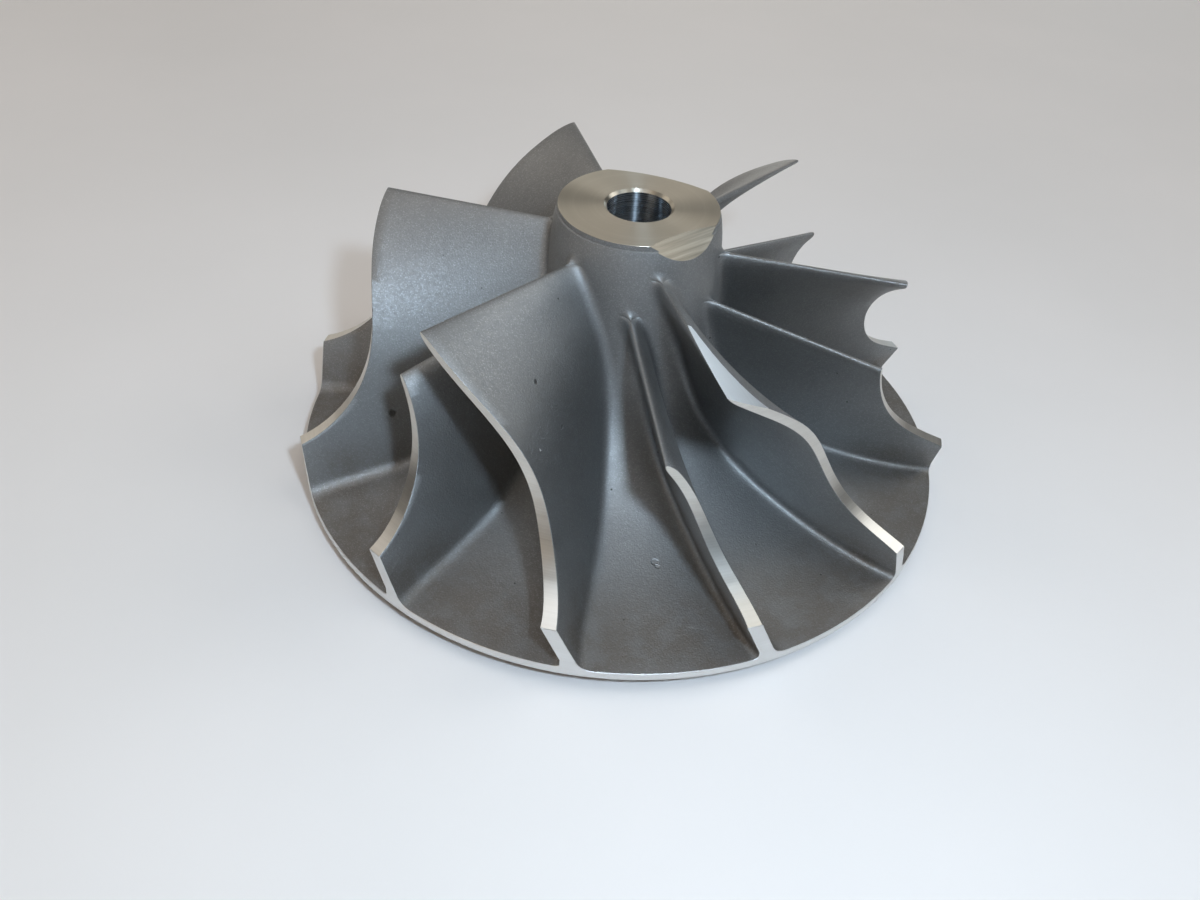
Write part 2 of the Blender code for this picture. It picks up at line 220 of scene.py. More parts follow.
class Blade:
    """Middle surface and thickness of one blade, ruled from hub to shroud."""

    def __init__(self, sizes: WheelSizes, hub_start: float, shroud_start: float, turn: float):
        """Measure the blade's two outlines.

        Args:
            sizes: Sizes of the wheel.
            hub_start: Share of the hub outline at the leading edge.
            shroud_start: Share of the shroud outline at the leading edge.
            turn: Angle of the blade from the first one, in radians.
        """
        self.sizes = sizes
        self.hub, self.shroud = sizes.hub(), sizes.shroud()
        self.hub_start, self.turn = hub_start, turn
        self.hub_shares, self.hub_arcs, self.length = self.hub.arcs(hub_start)
        self.shroud_shares, self.shroud_arcs, _ = self.shroud.arcs(shroud_start)
        self.hub_camber = CamberLaw((-1.29, 14.05, 24.82, 30.47, 34.20, 36.13, 37.44)).reader()
        self.shroud_camber = CamberLaw((0.0, 12.64, 22.38, 27.63, 31.15, 33.69)).reader()
        self.kept: dict[tuple, np.ndarray | float] = {}

    def root(self, share: float) -> np.ndarray:
        """Middle point on the hub at a share of the hub outline."""
        radius, z = self.hub.at(share)
        along = (share - self.sizes.full_start) / (1.0 - self.sizes.full_start)
        return polar(radius, self.hub_camber(along) + self.turn, z)

    def tip(self, share: float) -> np.ndarray:
        """Middle point on the shroud, opposite a share of the hub outline."""
        arc = np.interp(share, self.hub_shares, self.hub_arcs)
        own = float(np.interp(arc, self.shroud_arcs, self.shroud_shares))
        radius, z = self.shroud.at(own)
        return polar(radius, self.shroud_camber(own) + self.turn, z)

    def ends(self, share: float) -> tuple[np.ndarray, np.ndarray]:
        """Root and tip points at a share, kept for the next call."""
        if ("ends", share) not in self.kept:
            self.kept["ends", share] = (self.root(share), self.tip(share))
        return self.kept["ends", share]

    def point(self, share: float, span: float) -> np.ndarray:
        """Middle point at a share of the hub outline and a share of the span."""
        root, tip = self.ends(share)
        return (1.0 - span) * root + span * tip

    def height(self, share: float) -> float:
        """Length of the blade from its root to its tip."""
        root, tip = self.ends(share)
        return float(np.linalg.norm(tip - root))

    def reach(self, share: float) -> float:
        """Distance along the hub from the leading edge, negative ahead of it."""
        if share >= self.hub_start:
            return float(np.interp(share, self.hub_shares, self.hub_arcs)) * self.length
        gap = self.hub.at(self.hub_start) - self.hub.at(share)
        return -float(np.hypot(*gap))

    def share_at(self, reach: float) -> float:
        """Share of the hub outline at a distance from the leading edge."""
        return float(np.interp(reach / self.length, self.hub_arcs, self.hub_shares))

    def slant(self, share: float, span: float) -> float:
        """How squarely the blade stands across the direction of rotation."""
        key = ("slant", share, span)
        if key not in self.kept:
            step = 0.004
            ahead, behind = min(share + step, 1.0), max(share - step, self.hub_start)
            along = self.point(ahead, span) - self.point(behind, span)
            root, tip = self.ends(share)
            normal = np.cross(along, tip - root)
            normal /= np.linalg.norm(normal)
            spot = self.point(share, span)
            round_way = np.array([-spot[1], spot[0], 0.0]) / math.hypot(spot[0], spot[1])
            self.kept[key] = max(abs(float(normal @ round_way)), 0.35)
        return self.kept[key]

    def half(self, share: float, span: float) -> float:
        """Half the blade's thickness, measured round the shaft as a length."""
        sizes, reach = self.sizes, self.reach(share)
        worn = min(max(reach / self.length, 0.0), 1.0)
        tip = sizes.tip_front + (sizes.tip_back - sizes.tip_front) * worn
        half = 0.5 * (sizes.root_thickness + (tip - sizes.root_thickness) * span)
        short = min(max(reach / sizes.nose_rounding, 0.0), 1.0)
        return half * math.sqrt(1.0 - (1.0 - short) ** 2) / self.slant(share, span)

    def skin(self, share: float, span: float, side: int, inset: float = 0.0) -> np.ndarray:
        """Point on a side of the blade.

        Args:
            share: Share of the hub outline.
            span: Share of the span.
            side: Side of the blade, -1 or 1.
            inset: Distance that the point lies inside the side, round the shaft.

        Returns:
            The point.
        """
        spot = self.point(share, span)
        radius = math.hypot(spot[0], spot[1])
        half = self.half(share, span)
        return spun(spot, side * (half - min(inset, 0.4 * half)) / radius)

    def fillet(self, share: float, side: int, level: float) -> np.ndarray:
        """Point of the cast root fillet.

        Args:
            share: Share of the hub outline.
            side: Side of the blade, -1 or 1.
            level: 0 on the hub and 1 on the blade.

        Returns:
            The point.
        """
        size, reach = self.sizes.root_fillet, self.reach(share)
        root = self.ends(share)[0]
        radius, rest = math.hypot(root[0], root[1]), 1.0 - level
        if reach < 0.0:
            aside = size * rest * rest / self.slant(self.hub_start, 0.0)
            away = math.hypot(reach, size * rest * rest)
            lift = size * (1.0 - math.sqrt(away / size)) ** 2 if away < size else 0.0
            foot, head = self.ends(self.hub_start)
            upward = (head - foot) / np.linalg.norm(head - foot)
            return spun(root + lift * upward, side * aside / radius)
        low = size / self.height(share)
        half = self.half(share, 0.0)
        hub = spun(root, side * (half + size / self.slant(share, 0.0)) / radius)
        corner = spun(root, side * half / radius)
        wall = self.skin(share, low, side)
        return rest * rest * hub + 2.0 * rest * level * corner + level * level * wall


@dataclass(frozen=True)
class Column:
    """One column of the map."""

    spot: Spot
    blade: int
    side: int
    level: float


@dataclass(frozen=True)
class Row:
    """One row of the map: a share of the hub outline, or one of the two last rows."""

    share: float
    chamfer: bool = False
    cap: bool = False
    radius: float = 0.0
    z: float = 0.0


@dataclass
class SectorMap:
    """The flat grid that becomes one sixth of the bladed face."""

    sizes: WheelSizes
    fillet_steps: int = 7
    wall_steps: int = 14
    strip_steps: int = 2
    passage_steps: int = 12
    blades: list[Blade] = field(default_factory=list)
    columns: list[Column] = field(default_factory=list)
    rows: list[Row] = field(default_factory=list)

    def __post_init__(self) -> None:
        """Lay out the blades, the columns and the rows."""
        s, pitch = self.sizes, math.pi / self.sizes.pairs
        self.blades = [
            Blade(s, s.full_start, 0.0, 0.0),
            Blade(s, s.splitter_start, s.splitter_shroud_start, pitch),
            Blade(s, s.full_start, 0.0, 2.0 * pitch),
        ]
        for blade in (0, 1):
            self.columns += self.over_blade(blade)
            self.columns += [
                Column(Spot.PASSAGE, blade, 1, k / self.passage_steps)
                for k in range(1, self.passage_steps)
            ]
        self.columns.append(Column(Spot.FILLET, 2, -1, 0.0))
        self.rows = self.down_the_hub()

    def over_blade(self, blade: int) -> list[Column]:
        """Columns that climb one side of a blade and come down the other."""
        climb = [Column(Spot.FILLET, blade, -1, k / self.fillet_steps) for k in range(self.fillet_steps + 1)]
        climb += [Column(Spot.FOOT, blade, -1, 0.0), Column(Spot.HEEL, blade, -1, 0.0)]
        climb += [Column(Spot.WALL, blade, -1, k / self.wall_steps) for k in range(1, self.wall_steps)]
        climb += [Column(Spot.CORNER, blade, -1, 1.0)]
        across = [-1.0 + 2.0 * k / self.strip_steps for k in range(self.strip_steps + 1)]
        strip = [Column(Spot.STRIP, blade, 0, t) for t in across]
        fall = [Column(c.spot, blade, 1, c.level) for c in reversed(climb)]
        return climb + strip + fall

    def down_the_hub(self) -> list[Row]:
        """Rows from the nose to the rim, close together round the leading edges."""
        full, splitter = self.blades[0], self.blades[1]
        turned_r, step_z = self.sizes.nose_r, self.sizes.top - 0.75 * MM
        rows = [
            Row(0.0, radius=turned_r - 0.04 * MM, z=self.sizes.top),
            Row(0.002, radius=turned_r, z=self.sizes.top - 0.04 * MM),
            Row(0.010, radius=turned_r, z=step_z),
            Row(0.024),
        ]
        shares = [0.035, 0.055, 0.07]
        shares += self.round_edge(full)
        shares += list(np.linspace(shares[-1], splitter.hub_start - 0.036, 9)[1:-1])
        shares += self.round_edge(splitter)
        shares += list(np.linspace(shares[-1], 1.0, 46)[1:])
        rows += [Row(share) for share in shares]
        return rows + [Row(1.0, chamfer=True), Row(1.0, cap=True)]

    def round_edge(self, blade: Blade, ahead: int = 5, behind: int = 8) -> list[float]:
        """Shares of the hub outline that follow a rounded leading edge.

        Args:
            blade: The blade.
            ahead: Number of rows over the fillet in front of the edge.
            behind: Number of rows over the rounding.

        Returns:
            The shares in order.
        """
        lead = blade.sizes.root_fillet * 1.02
        drop = float(np.hypot(*(blade.hub.at(blade.hub_start) - blade.hub.at(blade.hub_start - 0.02)))) / 0.02
        front = [blade.hub_start - lead / drop * (1.0 - k / ahead) ** 1.6 for k in range(ahead)]
        curve = [1.0 - math.cos(math.pi / 2.0 * k / behind) for k in range(behind + 1)]
        return front + [blade.share_at(blade.sizes.nose_rounding * c) for c in curve]

    def hub_place(self, row: Row) -> tuple[float, float]:
        """Radius and height of the bare hub at a row."""
        if row.radius:
            return row.radius, row.z
        radius, z = self.blades[0].hub.at(row.share)
        return float(radius), float(z)

    def bare(self, row: Row, point: np.ndarray) -> np.ndarray:
        """Move a hub point of the first rows onto the turned nose."""
        if not row.radius:
            return point
        angle = math.atan2(point[1], point[0])
        return polar(row.radius, angle, row.z)

    def place(self, row: Row, column: Column) -> np.ndarray:
        """Where a crossing of a row and a column lies on the wheel."""
        share, blade, side = row.share, self.blades[column.blade], column.side
        if column.spot is Spot.PASSAGE:
            return self.between(row, column)
        ahead = share < blade.hub_start - 1e-9
        if column.spot is Spot.FILLET:
            return self.bare(row, blade.fillet(share, side, column.level))
        if ahead or column.spot in (Spot.FOOT, Spot.HEEL):
            return self.bare(row, blade.fillet(share, side or 1, 1.0))
        low = self.sizes.root_fillet / blade.height(share)
        if column.spot is Spot.WALL:
            return blade.skin(share, low + (1.0 - low) * column.level, side)
        edge = min(self.sizes.edge_break, 0.4 * blade.half(share, 1.0))
        if column.spot is Spot.CORNER:
            return blade.skin(share, 1.0 - edge / blade.height(share), side)
        inner = (blade.half(share, 1.0) - edge) * column.level
        tip = blade.point(share, 1.0)
        return spun(tip, inner / math.hypot(tip[0], tip[1]))

    def between(self, row: Row, column: Column) -> np.ndarray:
        """Point on the bare hub between two blades."""
        here, beyond = self.blades[column.blade], self.blades[column.blade + 1]
        start = self.bare(row, here.fillet(row.share, 1, 0.0))
        end = self.bare(row, beyond.fillet(row.share, -1, 0.0))
        low, high = math.atan2(start[1], start[0]), math.atan2(end[1], end[0])
        high += 2.0 * math.pi if high < low else 0.0
        radius, z = self.hub_place(row)
        return polar(radius, low + (high - low) * column.level, z)

    def last_rows(self) -> tuple[np.ndarray, np.ndarray, np.ndarray]:
        """Outline of the trailing edges and the rim, its chamfer, and what closes it.

        Returns:
            The three rows of points on or just inside the exducer's cylinder.
        """
        radius, edge = self.sizes.exducer_r, self.sizes.edge_break
        spots = np.array([self.place(Row(1.0), c) for c in self.columns])
        angles = np.unwrap(np.arctan2(spots[:, 1], spots[:, 0]))
        flat = np.column_stack([angles * radius, spots[:, 2]])
        inset = self.inset(flat, edge)
        outer = np.array([polar(radius - edge, a, z) for a, z in zip(angles, spots[:, 2])])
        face = np.array([polar(radius, x / radius, z) for x, z in inset])
        cap = []
        for column, (x, z) in zip(self.columns, inset):
            angle = x / radius
            if column.spot in (Spot.PASSAGE, Spot.FILLET):
                cap.append(polar(radius, angle, self.sizes.rim_underside))
                continue
            blade = self.blades[column.blade]
            middle = blade.point(1.0, self.cap_span(blade, column))
            turn = math.atan2(middle[1], middle[0])
            height = self.sizes.rim_underside if column.spot is Spot.FOOT else middle[2]
            cap.append(polar(radius, turn, height - edge * (column.spot is Spot.STRIP)))
        return outer, face, np.array(cap)

    def cap_span(self, blade: Blade, column: Column) -> float:
        """Share of the span at which a column meets the middle of a trailing edge."""
        low = self.sizes.root_fillet / blade.height(1.0)
        if column.spot in (Spot.FOOT, Spot.HEEL):
            return low
        if column.spot is Spot.WALL:
            return low + (1.0 - low) * column.level
        return 1.0 - self.sizes.edge_break / blade.height(1.0) if column.spot is Spot.CORNER else 1.0

    @staticmethod
    def inset(outline: np.ndarray, edge: float) -> np.ndarray:
        """Move an open outline inwards, to its right, keeping its corners square.

        Args:
            outline: Points along the outline, repeated where columns coincide.
            edge: Distance to move.

        Returns:
            The moved points.
        """
        tight = np.concatenate([[True], np.hypot(*np.diff(outline, axis=0).T) > 1e-7])
        group = np.cumsum(tight) - 1
        kept = outline[tight]
        way = np.diff(kept, axis=0)
        way /= np.hypot(*way.T)[:, None]
        right = np.column_stack([way[:, 1], -way[:, 0]])
        first, last = np.vstack([right[:1], right]), np.vstack([right, right[-1:]])
        dot = (first * last).sum(axis=1)[:, None]
        moved = kept + edge * (first + last) / (1.0 + np.maximum(dot, -0.5))
        moved[0] = kept[0] + [0.0, -edge]
        moved[-1] = kept[-1] + [0.0, -edge]
        return moved[group]

    def is_waste(self, row: int, column: int) -> bool:
        """Whether a cell lies over a blade ahead of that blade's leading edge."""
        left, right = self.columns[column], self.columns[column + 1]
        over = left.blade == right.blade and not {left.spot, right.spot} <= {Spot.FILLET, Spot.PASSAGE}
        return over and self.rows[row].share < self.blades[left.blade].hub_start - 1e-9

    def finish_at(self, row: int, column: int) -> Finish:
        """Finish of the cell of the map after a row and a column."""
        if row >= len(self.rows) - 3:
            return Finish.RIM_FACE
        if row < 1:
            return Finish.NOSE_FACE
        left, right = self.columns[column], self.columns[column + 1]
        if left.spot is Spot.STRIP and right.spot is Spot.STRIP:
            return Finish.SHROUD_EDGE
        return Finish.CAST


@dataclass
class Casting:
    """The whole wheel as one closed mesh."""

    sizes: WheelSizes
    merge: float = 1.5e-6
    bore_chamfer: float = 0.4 * MM
    cast_crease: float = math.radians(38.0)
    turned_crease: float = math.radians(12.0)

    def build(self) -> bpy.types.Object:
        """Make the casting.

        Returns:
            The finished object.
        """
        thing = self.wrapped_map()
        self.copy_round(thing)
        self.close_back(thing)
        NoseCuts(self.sizes).take_from(thing)
        EdgeFlat(self.sizes).take_from(thing)
        self.sharpen(thing)
        return thing

    def wrapped_map(self) -> bpy.types.Object:
        """Paint the flat grid and wrap it onto the wheel."""
        plan = SectorMap(self.sizes)
        wide, high = len(plan.columns), len(plan.rows)
        bpy.ops.object.select_all(action="DESELECT")
        bpy.ops.mesh.primitive_grid_add(x_subdivisions=wide - 1, y_subdivisions=high - 1, size=1.0)
        thing = bpy.context.object
        thing.name = thing.data.name = "wheel_casting"
        for finish in Finish:
            thing.data.materials.append(bpy.data.materials.new(finish.name.lower()))
        waste: list[bool] = []
        for face in thing.data.polygons:
            column = int((face.center.x + 0.5) * (wide - 1))
            row = int((face.center.y + 0.5) * (high - 1))
            face.material_index = int(plan.finish_at(row, column))
            waste.append(bool(plan.is_waste(row, column)))
        spots = np.array([[plan.place(row, c) for c in plan.columns] for row in plan.rows[:-2]])
        outer, face_row, cap = plan.last_rows()
        spots[-1] = outer
        spots = np.concatenate([spots, face_row[None], cap[None]])
        thing.data.vertices.foreach_set("co", spots.astype(np.float32).ravel())
        thing.data.update()
        select_faces(thing, waste)
        bpy.ops.object.mode_set(mode="EDIT")
        bpy.ops.mesh.delete(type="FACE")
        bpy.ops.object.mode_set(mode="OBJECT")
        self.edit(thing, lambda: bpy.ops.mesh.remove_doubles(threshold=self.merge))
        return thing

    def copy_round(self, thing: bpy.types.Object) -> None:
        """Copy the sector round the shaft and join the copies."""
        turn = 2.0 * math.pi / self.sizes.pairs

        def copies() -> None:
            """Duplicate and turn what is selected, once for each other sector."""
            for _ in range(self.sizes.pairs - 1):
                bpy.ops.mesh.duplicate()
                bpy.ops.transform.rotate(value=turn, orient_axis="Z", center_override=(0.0, 0.0, 0.0))
            bpy.ops.mesh.select_all(action="SELECT")
            bpy.ops.mesh.remove_doubles(threshold=self.merge)

        self.edit(thing, copies)

    def close_back(self, thing: bpy.types.Object) -> None:
        """Draw the open rim inwards along the back, up the bore and out to the nose."""
        s = self.sizes
        rim, chamfer = s.exducer_r, self.bore_chamfer
        rings = [
            (rim - s.edge_break, s.rim_underside - s.edge_break, Finish.RIM_FACE),
            (30.0 * MM, 1.9 * MM, Finish.TURNED_BACK),
            (s.boss_r + 2.0 * MM, 1.7 * MM, Finish.TURNED_BACK),
            (s.boss_r, 0.25 * MM, Finish.TURNED_BACK),
            (s.boss_r - 0.25 * MM, 0.0, Finish.TURNED_BACK),
            (s.bore_r + chamfer, 0.0, Finish.TURNED_BACK),
            (s.bore_r, chamfer, Finish.BORE),
            (s.bore_r, s.top - chamfer, Finish.BORE),
            (s.bore_r + chamfer, s.top, Finish.NOSE_FACE),
        ]
        select_near(thing, lambda v: abs(v.z - s.rim_underside) < 1e-6 and v.xy.length > rim - 1e-5)
        radius, height = rim, s.rim_underside
        for next_radius, next_height, finish in rings:
            bpy.context.object.active_material_index = int(finish)
            bpy.ops.object.mode_set(mode="EDIT")
            shift = (0.0, 0.0, next_height - height)
            bpy.ops.mesh.extrude_edges_move(TRANSFORM_OT_translate={"value": shift})
            scale = next_radius / radius
            bpy.ops.transform.resize(value=(scale, scale, 1.0), center_override=(0.0, 0.0, next_height))
            bpy.ops.object.mode_set(mode="OBJECT")
            self.paint_ring(thing, (radius, height), (next_radius, next_height), finish)
            radius, height = next_radius, next_height
        self.close_nose(thing)

    def paint_ring(self, thing: bpy.types.Object, old: tuple[float, float],
                   new: tuple[float, float], finish: Finish) -> None:
        """Give a finish to the faces between two rings, both (radius, height)."""
        middle_r, middle_z = (old[0] + new[0]) / 2.0, (old[1] + new[1]) / 2.0
        for face in thing.data.polygons:
            c = face.center
            near = abs(c.z - middle_z) < 2e-5 and abs(c.xy.length - middle_r) < 0.004 * middle_r + 2e-5
            if near and face.material_index in (Finish.CAST, Finish.RIM_FACE) and c.z < self.sizes.rim_top:
                face.material_index = int(finish)
            elif near and old[0] < self.sizes.nose_r:
                face.material_index = int(finish)

    def close_nose(self, thing: bpy.types.Object) -> None:
        """Bridge the end of the bore and the nose edge, and make the faces point out."""
        s = self.sizes
        select_near(thing, lambda v: abs(v.z - s.top) < 1e-6 and v.xy.length < s.nose_r + 1e-4)
        bpy.ops.object.mode_set(mode="EDIT")
        bpy.ops.mesh.bridge_edge_loops()
        bpy.ops.mesh.select_all(action="SELECT")
        bpy.ops.mesh.normals_make_consistent(inside=False)
        bpy.ops.object.mode_set(mode="OBJECT")
        for face in thing.data.polygons:
            if face.center.z > s.top - 1e-6:
                face.material_index = int(Finish.NOSE_FACE)

    @staticmethod
    def edit(thing: bpy.types.Object, work: Callable[[], object]) -> None:
        """Run operators in edit mode with the whole mesh selected."""
        bpy.context.view_layer.objects.active = thing
        bpy.ops.object.mode_set(mode="EDIT")
        bpy.ops.mesh.select_all(action="SELECT")
        work()
        bpy.ops.object.mode_set(mode="OBJECT")

    def sharpen(self, thing: bpy.types.Object) -> None:
        """Shade the casting smooth, with sharp edges where finishes or turned faces meet."""
        thing.data.polygons.foreach_set("use_smooth", [True] * len(thing.data.polygons))
        shape = bmesh.new()
        shape.from_mesh(thing.data)
        for edge in shape.edges:
            meets = {face.material_index for face in edge.link_faces}
            limit = self.cast_crease if meets == {Finish.CAST} else self.turned_crease
            edge.smooth = len(meets) == 1 and edge.calc_face_angle(0.0) < limit
        shape.to_mesh(thing.data)
        shape.free()


def select_faces(thing: bpy.types.Object, wanted: Sequence[bool]) -> None:
    """Select the faces of an object, in object mode, that a list marks."""
    bpy.context.view_layer.objects.active = thing
    bpy.ops.object.mode_set(mode="EDIT")
    bpy.ops.mesh.select_mode(type="FACE")
    bpy.ops.mesh.select_all(action="DESELECT")
    bpy.ops.object.mode_set(mode="OBJECT")
    thing.data.polygons.foreach_set("select", wanted)


def select_near(thing: bpy.types.Object, wanted: Callable[[Vector], bool]) -> None:
    """Select the open edges of an object whose two ends pass a test.

    Args:
        thing: The object, in object mode.
        wanted: Test of a vertex's place.
    """
    bpy.context.view_layer.objects.active = thing
    bpy.ops.object.mode_set(mode="EDIT")
    bpy.ops.mesh.select_mode(type="EDGE")
    bpy.ops.mesh.select_all(action="DESELECT")
    shape = bmesh.from_edit_mesh(thing.data)
    for edge in shape.edges:
        edge.select_set(edge.is_boundary and all(wanted(v.co) for v in edge.verts))
    bmesh.update_edit_mesh(thing.data)
    bpy.ops.object.mode_set(mode="OBJECT")


def cut_away(thing: bpy.types.Object, cutter: bpy.types.Object, finish: Finish | None = None) -> None:
    """Subtract one closed object from another and remove the first.

    Args:
        thing: The object that is cut.
        cutter: The object that is taken away.
        finish: Finish of the new faces, or None where the objects share no finishes.
    """
    if finish is not None:
        cutter.data.materials.clear()
        for material in thing.data.materials:
            cutter.data.materials.append(material)
        for face in cutter.data.polygons:
            face.material_index = int(finish)
    bpy.context.view_layer.objects.active = thing
    trim = thing.modifiers.new("cut", "BOOLEAN")
    trim.operation, trim.solver, trim.object = "DIFFERENCE", "MANIFOLD", cutter
    bpy.ops.object.modifier_apply(modifier=trim.name)
    bpy.data.objects.remove(cutter, do_unlink=True)


@dataclass
class NoseCuts:
    """The two balancing cuts in the nose."""

    sizes: WheelSizes
    chord_angle: float = math.radians(73.9)
    chord_depth_r: float = 9.5 * MM
    chord_bend_r: float = 26.0 * MM
    chord_wall: float = 9.0 * MM
    chord_deep: float = 4.0 * MM
    over: float = 1.0 * MM
    scallop_angle: float = math.radians(-50.5)
    scallop_top_r: float = 9.2 * MM
    scallop_drop: float = 2.62 * MM
    scallop_run: float = 2.79 * MM
    scallop_cutter_r: float = 38.0 * MM
    scallop_in: float = 14.0 * MM
    scallop_out: float = 5.2 * MM

    def take_from(self, thing: bpy.types.Object) -> None:
        """Cut both out of the casting."""
        for cutter in (self.chord(), self.scallop()):
            cut_away(thing, cutter, Finish.GROUND_CUT)

    def chord(self) -> bpy.types.Object:
        """Round block with a cone taken out, whose flank trims the back right edge of the nose."""
        deep, over, bend = self.chord_deep, self.over, self.chord_bend_r
        way = Vector((math.cos(self.chord_angle), math.sin(self.chord_angle), 0.0))
        middle = way * (self.chord_depth_r - bend) + Vector((0.0, 0.0, self.sizes.top + (over - deep) / 2.0))
        bpy.ops.object.select_all(action="DESELECT")
        bpy.ops.mesh.primitive_cone_add(
            vertices=360, radius1=bend + deep, radius2=bend - over, depth=deep + over, location=middle)
        cone = bpy.context.object
        bpy.ops.mesh.primitive_cylinder_add(
            vertices=96, radius=bend + self.chord_wall, depth=deep, location=middle)
        block = bpy.context.object
        cut_away(block, cone)
        return block

    def scallop(self) -> bpy.types.Object:
        """Round bar laid along the slanting cut at the front right of the nose."""
        out = Vector((math.cos(self.scallop_angle), math.sin(self.scallop_angle), 0.0))
        along = (out * self.scallop_run - Vector((0.0, 0.0, self.scallop_drop))).normalized()
        away = Vector((0.0, 0.0, 1.0))
        away = (away - along * away.dot(along)).normalized()
        middle = out * self.scallop_top_r + Vector((0.0, 0.0, self.sizes.top))
        middle += away * self.scallop_cutter_r + along * (self.scallop_out - self.scallop_in) / 2.0
        bpy.ops.object.select_all(action="DESELECT")
        bpy.ops.mesh.primitive_cylinder_add(
            vertices=360, radius=self.scallop_cutter_r, depth=self.scallop_in + self.scallop_out,
            location=middle, rotation=along.to_track_quat("Z", "Y").to_euler())
        return bpy.context.object


@dataclass
class EdgeFlat:
    """Smooth flat dressed by hand on the upper side of one full blade's leading edge."""

    sizes: WheelSizes
    blade_number: int = 2
    first_span: float = 0.42
    first_reach: float = 0.35 * MM
    last_share: float = 0.232
    bite: float = 0.30 * MM
    over: float = 2.5 * MM

    def corners(self) -> tuple[Vector, Vector, Vector]:
        """Three points of the flat: where it starts, its end on the edge and its end on the tip."""
        s = self.sizes
        blade = Blade(s, s.full_start, 0.0, 2.0 * math.pi / s.pairs * self.blade_number)
        start = Vector(blade.skin(blade.share_at(self.first_reach), self.first_span, 1))
        edge = Vector(blade.point(s.full_start, 1.0))
        tip = Vector(blade.skin(self.last_share, 1.0, 1))
        normal = (edge - start).cross(tip - start).normalized()
        return start, edge - normal * math.copysign(self.bite, normal.z), tip

    def take_from(self, thing: bpy.types.Object) -> None:
        """Cut the flat with the lower face of a block laid on it."""
        start, edge, tip = self.corners()
        along = (edge - start).normalized()
        normal = along.cross(tip - start).normalized()
        normal *= math.copysign(1.0, normal.z)
        across = normal.cross(along)
        across *= math.copysign(1.0, across.dot(tip - start))
        wide = across.dot(tip - start) + 2.0 * self.over
        long = along.dot(edge - start) + self.over
        middle = start + along * long / 2.0 + across * (wide / 2.0 - self.over) + normal * self.over / 2.0
        bpy.ops.object.select_all(action="DESELECT")
        turn = Matrix((along, across, along.cross(across))).transposed()
        bpy.ops.mesh.primitive_cube_add(size=1.0, location=middle, rotation=turn.to_euler())
        block = bpy.context.object
        block.scale = (long, wide, self.over)
        bpy.ops.object.transform_apply(location=False, rotation=False, scale=True)
        cut_away(thing, block, Finish.EDGE_FLAT)


@dataclass
class PhotoView:
    """Camera that stands where the photograph was taken."""

    place: tuple[float, float, float] = (0.0, -0.12885, 0.10972)
    pan: float = -0.0225
    tilt: float = 0.7176
    roll: float = 0.0748
    lens: float = 30.53
    sensor: float = 36.0

    def build(self) -> bpy.types.Object:
        """Make the camera and look through it.

        Returns:
            The camera object.
        """
        cp, sp, ct, st = math.cos(self.pan), math.sin(self.pan), math.cos(self.tilt), math.sin(self.tilt)
        forward = Vector((sp * ct, cp * ct, -st))
        right = Vector((cp, -sp, 0.0))
        up = right.cross(forward)
        across = right * math.cos(self.roll) + up * math.sin(self.roll)
        over = up * math.cos(self.roll) - right * math.sin(self.roll)
        turn = Matrix((across, over, -forward)).transposed().to_4x4()
        camera = bpy.data.cameras.new("photo_view")
        camera.lens, camera.sensor_width, camera.clip_start = self.lens, self.sensor, 0.005
        holder = bpy.data.objects.new("photo_view", camera)
        holder.matrix_world = Matrix.Translation(self.place) @ turn
        bpy.context.scene.collection.objects.link(holder)
        bpy.context.scene.camera = holder
        return holder


@dataclass(frozen=True)
class Lamp:
    """One soft round light of the studio."""

    name: str
    place: tuple[float, float, float]
    size: float
    power: float
    colour: tuple[float, float, float]
    aim: tuple[float, float, float] = (0.0, 0.0, 0.015)

    def build(self) -> bpy.types.Object:
        """Make the light and turn it to its aim."""
        data = bpy.data.lights.new(self.name, "AREA")
        data.shape, data.size, data.energy, data.color = "DISK", self.size, self.power, self.colour
        holder = bpy.data.objects.new(self.name, data)
        way = Vector(self.aim) - Vector(self.place)
        holder.matrix_world = Matrix.Translation(self.place) @ way.to_track_quat("-Z", "Y").to_matrix().to_4x4()
        bpy.context.scene.collection.objects.link(holder)
        return holder


@dataclass(frozen=True)
class Panel:
    """One broad soft panel, by where it stands round the wheel."""

    name: str
    azimuth: float
    elevation: float
    power: float
    colour: tuple[float, float, float]
    distance: float = 1.2
    size: float = 0.62

    def lamp(self) -> Lamp:
        """The panel as a lamp."""
        a, e, d = math.radians(self.azimuth), math.radians(self.elevation), self.distance
        place = (d * math.cos(e) * math.cos(a), d * math.cos(e) * math.sin(a), d * math.sin(e))
        return Lamp(self.name, place, self.size, self.power, self.colour)


